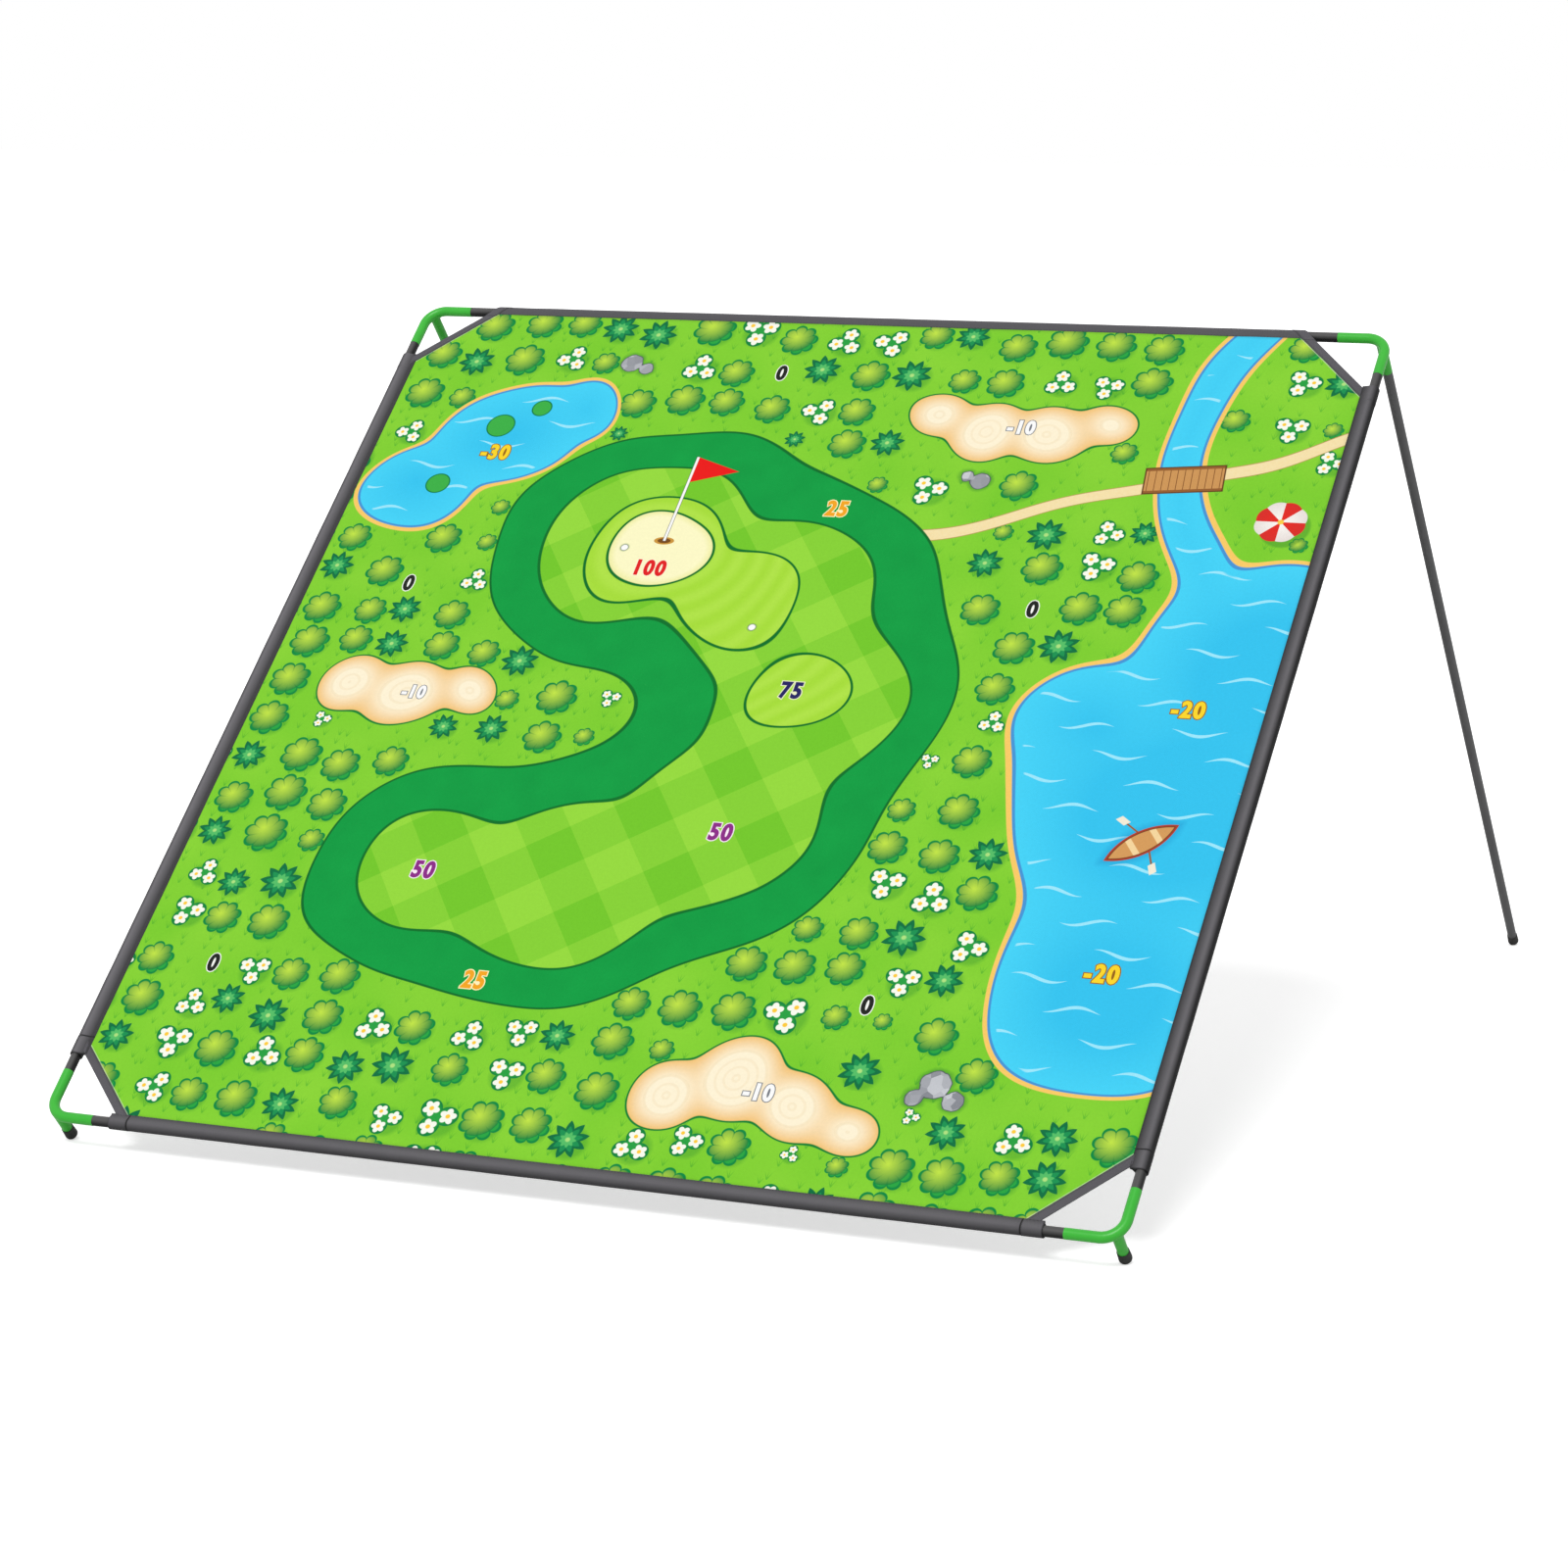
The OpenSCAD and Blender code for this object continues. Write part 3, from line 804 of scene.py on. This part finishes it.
bore_r = 0.0068  # inside, round the tube
sleeve_r = 0.0080  # outside
hem_r = 0.0083  # outside, over a hem
sleeve_start = 0.090  # from the crossing of the tubes' axes to a sleeve's end
hem_row, hem_len = 0.0245, 0.0262  # from a sleeve's end to its hem's stitches, and to the hem's edge
side_seam, end_seam = 0.010905, 0.007605  # from a tube's axis to the cloth: left and right, top and bottom
laps = {"bottom": 0.0020, "top": 0.0012, "left": 0.0072, "right": 0.0018}  # a sleeve's hold on the cloth
lap_thick, lap_bevel = 0.0004, 0.00015
lip = 0.0004  # rounding of a sleeve's end
yarn = 0.0009  # from one thread of the weave to the next
crease, slant_reach = 0.0002, 0.08  # how deep a sleeve wrinkles, and how far in its slanted ends are felt
stitch_len, stitch_pitch, thread_w = 0.0026, 0.0042, 0.0005
stitch_up = 0.0001  # from the cloth to the middle of a stitch
row_margin = 0.009  # from a sleeve's end to the first stitch of its seam
hem_stitches, hem_from, hem_step = 12, 1.55, 0.37  # the visible ones, and the angles where they lie
arc_steps, web_steps = 40, 4
tape_outer = 0.104905  # x + y at a taped corner's fold, from the crossing of the tubes' axes
tape_hold = 0.002  # from that fold to the end of the top sleeve, under the tape


def woven_cloth(side, pale, deep, seam_shade, side_shade, crown, turned):
    """Woven polyester with painted shade. It is palest on its crown and darkens by these shares towards its
    seam and its outer side, where it starts to darken at crown metres from the middle of the crown and is
    darkest at turned. A painted shadow line marks the hem's edge, and the sleeve's end is painted darker."""
    made = Finish(f"dark grey woven polyester, {side}", pale, Specular_IOR_Level=0.12)
    warp, weft = made.node("ShaderNodeUVMap", uv_map="cloth").split()
    cross = crossing(warp, weft, 2 * pi / yarn)
    made.lay(0.3 * cross + 0.4 * made.grain(0.03, 4.0), deep)
    # Painted shade: darker towards the seam and round the outer side, a shadow line along the hem's edge and
    # a darker band at the sleeve's end.
    for share in (seam_shade * weft.fade(-0.0115, 0.0),
                  side_shade * weft.fade(turned, crown) * (0.5 + 0.5 * weft.fade(0.018, 0.024)),
                  0.95 * abs(warp - hem_len).fade(0.0007, 0.0014),
                  0.6 * warp.fade(0.0006, 0.0018)):
        made.lay(share, ink(30, 30, 31))
    made.set(Roughness=0.5 + 0.16 * cross)
    made.bump(cross, 0.0001)
    return made


# One copy of the cloth for each side: its pale colour is lighter or darker as painted light, and its painted
# shade is set to that side's light.
woven = {side: woven_cloth(side, *looks) for side, *looks in (
    ("bottom", ink(104, 102, 106), ink(86, 85, 88), 0.6, 0.66, 0.0034, 0.0125),
    ("top", ink(91, 90, 94), ink(77, 76, 79), 0.1, 0.1, 0.0034, 0.0125),
    ("left", ink(116, 114, 118), ink(98, 96, 100), 0.74, 0.86, 0.0014, 0.0066),
    ("right", ink(106, 104, 108), ink(88, 87, 90), 0.85, 0.98, 0.0020, 0.0086),
)}

thread = Finish("dark sewing thread", ink(44, 44, 46), Roughness=0.5, Specular_IOR_Level=0.3)
thread.lay(thread.grain(0.001), ink(66, 66, 69))


def sleeve_outline(radius, seam, lap):
    """A sleeve's outline round a tube at 0, 0, drawn in over the cloth's two faces to the far edge of the
    lap. With each point goes its distance along the woven strip, below 0 from the crown to the front lap."""
    low, high = Vector((seam, back_z - lap_thick)), Vector((seam, face_z + lap_thick))
    first = atan2(high.y, seam) + acos(radius / high.length)
    last = 2 * pi + atan2(low.y, seam) - acos(radius / low.length)
    turns = [first + (last - first) * k / arc_steps for k in range(arc_steps + 1)]
    ring = [(Vector((radius * cos(a), radius * sin(a))), radius * (a - first)) for a in turns]
    (front, _), (back, run) = ring[0], ring[-1]
    webs = []
    for near, far, side in ((back, low, 1), (front, high, -1)):
        steps = [(near.lerp(far, k / web_steps), (far - near).length * k / web_steps)
                 for k in range(1, web_steps + 1)]
        for beyond, rise in ((lap, 0), (lap + lap_bevel, side * lap_thick)):
            steps.append((far + Vector((beyond, rise)), (far - near).length + lap))
        webs.append(steps)
    ring += [(point, run + d) for point, d in webs[0]]
    ring += [(point, -d) for point, d in reversed(webs[1])]
    return ring


def sleeve_stations(length, hemmed):
    """The round of a sleeve lengthways: (along, outer radius, share of the way out from the bore)."""
    round_r = hem_r if hemmed else sleeve_r
    near = [(lip * (1 - cos(q)), round_r, (1 + sin(q)) / 2) for q in (-pi / 2, -pi / 4, 0, pi / 4, pi / 2)]
    near += [(a, round_r, 1) for a in (0.003, 0.008, 0.013, 0.018)]
    if hemmed:
        near += [(hem_row - 0.0008, hem_r, 1), (hem_row, hem_r - 0.0003, 1), (hem_row + 0.0007, hem_r, 1),
                 (hem_len - 0.0003, hem_r, 1), (hem_len, sleeve_r, 1)]
    far = [(length - a, r, share) for a, r, share in reversed(near)]
    plain = length - 2 * hem_len
    rows = ceil(plain / 0.009)
    body = [(hem_len + plain * k / rows, sleeve_r, 1) for k in range(1, rows)]
    back = [(length * k / 8, round_r, 0) for k in range(7, 0, -1)]
    return near + body + far + back


def on_side(name, along, inward, z):
    """A point, by its place along a side, its distance inward from the tube's axis, and its height."""
    across = along - half_side
    return Vector({"bottom": (across, inward - half_side, z), "top": (across, half_side - inward, z),
                   "left": (inward - half_side, across, z), "right": (half_side - inward, across, z)}[name])


def stitch(made, at, ahead, above, length=stitch_len):
    """One stitch: a small bead of thread lying along ahead on a surface that faces above."""
    aside = above.cross(ahead)
    shape = Matrix((ahead * length, aside * thread_w, above * thread_w * 0.8)).transposed().to_4x4()
    shape.translation = at
    bmesh.ops.create_uvsphere(made, u_segments=6, v_segments=4, radius=0.5, matrix=shape)


def stitch_row(made, first, last, count, above, length=stitch_len):
    """A straight row of stitches from first to last."""
    row = bmesh.new()
    stitch(row, first, (last - first).normalized(), above, length)
    bmesh.ops.spin(row, geom=every(row), axis=above, angle=0, steps=count - 1,
                   dvec=(last - first) / (count - 1), use_duplicate=True)
    add_to(made, row)


stitching = bmesh.new()
for number, (name, lap) in enumerate(laps.items()):
    seam = side_seam if name in ("left", "right") else end_seam
    hemmed = name != "top"
    length = 2 * (half_side - sleeve_start)
    stations = sleeve_stations(length, hemmed)
    outlines = {r: sleeve_outline(r, seam, lap) for r in {r for _, r, _ in stations}}
    turns = len(outlines[sleeve_r])
    run = max(d for _, d in outlines[sleeve_r])
    web = -outlines[sleeve_r][-1][1] * web_steps
    strip = run + web + lap

    def slant(d):
        """How much further in the top sleeve starts, d along its strip. Its ends are cut on a slant."""
        return 0 if hemmed else tape_outer - seam + min(d + web, run - d - lap) + tape_hold - sleeve_start

    def place(i, j):
        along, radius, share = stations[i % len(stations)]
        outer, d = outlines[radius][j % turns]
        core = outer.normalized() * bore_r
        wavy = noise.noise(Vector((along * 22, d * 400, number * 5.0))) * (radius == sleeve_r)
        wavy *= max(0, min(1, d / 0.004, (run - lap - d) / 0.008))
        point = core.lerp(outer, share) + outer.normalized() * crease * wavy
        shift = slant(d) * (max(0, 1 - along / slant_reach) - max(0, 1 - (length - along) / slant_reach))
        return on_side(name, sleeve_start + along + shift, point.x, point.y)

    def measure(i, j):
        """Lengthways from an end that gets the painted shade lines of its hem's edge and its end, and round
        from the crown.
        """
        along = stations[min(i, len(stations) - 1)][0]
        along = {"bottom": min(along, length - along), "top": along + 1}.get(name, along)
        return (along, outlines[sleeve_r][j % turns][1])

    sleeve = finished(f"sleeve_{name}_cloth", woven[name], skin(len(stations), turns, place, measure))
    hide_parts("sleeve_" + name)

    ahead = (on_side(name, 1, 0, 0) - on_side(name, 0, 0, 0)).normalized()
    for z, above in ((face_z + lap_thick, 1), (back_z - lap_thick, -1)):
        spot = (seam + lap / 2, z + above * stitch_up)
        first, last = [on_side(name, sleeve_start + a, *spot) for a in (row_margin, length - row_margin)]
        count = round((length - 2 * row_margin) / stitch_pitch)
        stitch_row(stitching, first, last, count, Vector((0, 0, above)))
    for hem in (hem_row, length - hem_row) if hemmed else ():
        for k in range(hem_stitches):
            turn = hem_from + k * hem_step
            above = Vector((cos(turn), sin(turn)))
            rise = (on_side(name, 0, above.x, above.y) - on_side(name, 0, 0, 0)).normalized()
            spot = above * (hem_r - 0.0002)
            stitch(stitching, on_side(name, sleeve_start + hem, *spot), ahead.cross(rise), rise)
sleeve_thread = finished("sleeve_stitching", thread, stitching)


# ---- Corner bindings ----
# Grey twill tape folded over each cut corner of the cloth and stitched through along its inner edge.
# Each end is tucked in between the cloth and the sleeve.

tape_half = 0.001  # half the folded tape's thickness
tape_z = face_z - ply
tape_len = 0.155  # one corner's tape, along it
tape_rows = 40
tape_row, tape_ends = 0.0094, (0.035, 0.965)  # the row of stitches: from the fold, and its share of the way
tape_stitches, tape_stitch_len = 38, 0.0024
tuck, sag = 0.0015, 0.00012  # how far an end goes under the sleeve, and how uneven the tape is
rib_pitch = 0.0012

twill = Finish("grey twill tape", ink(95, 93, 98), Specular_IOR_Level=0.2, Sheen_Weight=0.03)
tape_u, tape_v = twill.node("ShaderNodeUVMap", uv_map="cloth").split()
rib = 0.5 + 0.5 * ((tape_u + tape_v) * (2 * pi / rib_pitch)).math("SINE")
twill.lay(0.4 * rib + 0.3 * twill.grain(0.01, 4.0), ink(75, 74, 79))
# Painted shade: the tape darkens towards its inner edge, where it lies on the cloth.
twill.lay(0.5 * tape_v.fade(0.0116, 0.0085), ink(46, 45, 48))
twill.set(Roughness=0.6 + 0.2 * rib)
twill.bump(rib, 0.00012)

fold = [(tape_half * (1 - cos(a)), tape_half * sin(a)) for a in map(radians, range(-90, 91, 18))]
top_ply = [(0.004, tape_half), (0.008, tape_half), (0.0112, tape_half), (0.0116, 0.0008), (0.0118, 0.0004)]
tape_section = fold + top_ply + [(across, -height) for across, height in reversed(top_ply)]


def tape_point(sx, sy, along, offset, height):
    """A point of a corner's tape, by its share of the way along, distance in from the fold, and height."""
    reach = tape_outer + offset * sqrt(2)
    start = Vector((side_seam - tuck, reach - side_seam + tuck))
    end = Vector((reach - end_seam + tuck, end_seam - tuck))
    flat = start.lerp(end, along)
    return Vector((sx * (half_side - flat.x), sy * (half_side - flat.y), tape_z + height))


bindings = []
stitching = bmesh.new()
for number, (corner, (sx, sy)) in enumerate(corners.items()):
    def place(i, j):
        offset, height = tape_section[j % len(tape_section)]
        height += sag * noise.noise(Vector((i * 0.4, j * 0.12, number * 3.0)))
        return tape_point(sx, sy, i / tape_rows, offset, height)

    def measure(i, j):
        return (tape_len * i / tape_rows, tape_section[j % len(tape_section)][0])

    binding = finished(f"binding_{corner}_tape", twill, skin(tape_rows, len(tape_section), place, measure))
    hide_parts("binding_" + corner)
    bindings.append(binding)
    for side in (1, -1):
        ends = [tape_point(sx, sy, share, tape_row, side * (tape_half + stitch_up)) for share in tape_ends]
        stitch_row(stitching, *ends, tape_stitches, Vector((0, 0, side)), tape_stitch_len)
tape_thread = finished("binding_stitching", twill, stitching)

# At the top corners the tape's ends go on round the top sleeve and bind its slanted ends
front = Vector((end_seam, face_z + lap_thick))
rear = Vector((end_seam, back_z - lap_thick))
leave = atan2(front.y, front.x) + acos(sleeve_r / front.length)
meet = 2 * pi + atan2(rear.y, rear.x) - acos(sleeve_r / rear.length)
front_web = sqrt(front.length ** 2 - sleeve_r ** 2)
rear_web = sqrt(rear.length ** 2 - sleeve_r ** 2)
wrap = front_web + sleeve_r * (meet - leave) + rear_web
wrap_steps, wrap_lead = 64, 0.004
under, half_up, top = 0.00007, 0.00025, 0.00045  # heights of a band above the sleeve
band_section = [(0.0003, under), (0.0, half_up), (0.0003, top), (0.004, top), (0.008, top), (0.0114, top),
                (0.0118, half_up), (0.0114, under), (0.008, under), (0.004, under)]


def round_sleeve(s):
    """A point of the top sleeve's outside, s along it from its front seam, and the way out of it there."""
    if s < 0:
        return front + Vector((-s, 0)), Vector((0, 1))
    if s > wrap:
        return rear + Vector((s - wrap, 0)), Vector((0, -1))
    turned = leave + max(0.0, min(meet - leave, (s - front_web) / sleeve_r))
    out = Vector((cos(turned), sin(turned)))
    if s < front_web:
        return front.lerp(out * sleeve_r, s / front_web), out
    if s > wrap - rear_web:
        return rear.lerp(out * sleeve_r, (wrap - s) / rear_web), out
    return out * sleeve_r, out


for corner in ("top_left", "top_right"):
    def place(i, j):
        s = (wrap + 2 * wrap_lead) * i / wrap_steps - wrap_lead
        offset, height = band_section[j % len(band_section)]
        point, out = round_sleeve(s)
        point = point + out * height
        along = tape_outer + offset * sqrt(2) - end_seam + min(s, wrap - s)
        return on_side("top", along if corner == "top_left" else 2 * half_side - along, point.x, point.y)

    def measure(i, j):
        return ((wrap + 2 * wrap_lead) * i / wrap_steps, band_section[j % len(band_section)][0])

    band = skin(wrap_steps, len(band_section), place, measure)
    bindings.append(finished(f"binding_{corner}_end", twill, band))

for sheet, sewn_on in ((printed_cloth, [*bindings, tape_thread, sleeve_thread]), (backing, [])):
    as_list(sewn_on)


# ---- Studio ----
# A pale floor under an even white surround, with one large soft lamp high in front on the left.
# The floor keeps the target's shadow; the camera sees the rest of it and the surround as white.

scene = bpy.context.scene
made = bmesh.new()
bmesh.ops.create_grid(made, x_segments=1, y_segments=1, size=40)
floor = added("floor", as_mesh("floor", made))
pale = Finish("pale floor", (0.8, 0.8, 0.8, 1), Roughness=0.9)
white = (1, 1, 1, 1)
lit = pale.node("ShaderNodeBsdfDiffuse", {"Color": white})
glow = pale.node("ShaderNodeEmission", {"Strength": 0.5})
both = pale.node("ShaderNodeAddShader", {0: lit, 1: glow})
seen = pale.node("ShaderNodeLightPath", out="Is Camera Ray")
plain = Wire(pale, pale.shader.outputs[0])
pale.feed(pale.tree.nodes["Material Output"].inputs["Surface"],
          pale.node("ShaderNodeMixShader", {0: seen, 1: plain, 2: both}))
floor.data.materials.append(pale.material)

world = bpy.data.worlds.new("surround")
world.use_nodes = True
scene.world = world
sky = Nodes(world.node_tree)
seen = sky.node("ShaderNodeLightPath", out="Is Camera Ray")
seen = seen.most(seen.sibling("Is Glossy Ray"), seen.sibling("Is Transmission Ray"))
ambient = sky.node("ShaderNodeBackground", {"Color": white, "Strength": 0.45})
backdrop = sky.node("ShaderNodeBackground", {"Color": white, "Strength": 1.0})
sky.feed(sky.tree.nodes["World Output"].inputs["Surface"],
         sky.node("ShaderNodeMixShader", {0: seen, 1: ambient, 2: backdrop}))

sun = added("key lamp", bpy.data.lights.new("key lamp", "SUN"))
sun.data.energy = 1.8
sun.data.angle = radians(24)
sun.rotation_euler = Euler((radians(37), 0, radians(4)))

camera = added("camera", bpy.data.cameras.new("camera"))
camera.data.sensor_fit = "HORIZONTAL"
camera.data.sensor_width = 36
camera.data.lens = 97.0455
camera.location = (2.10954, -5.23075, 1.33849)
camera.rotation_euler = Euler([radians(a) for a in (80.0506, -0.0991, 23.0117)])
scene.camera = camera
scene.view_settings.view_transform = "Standard"
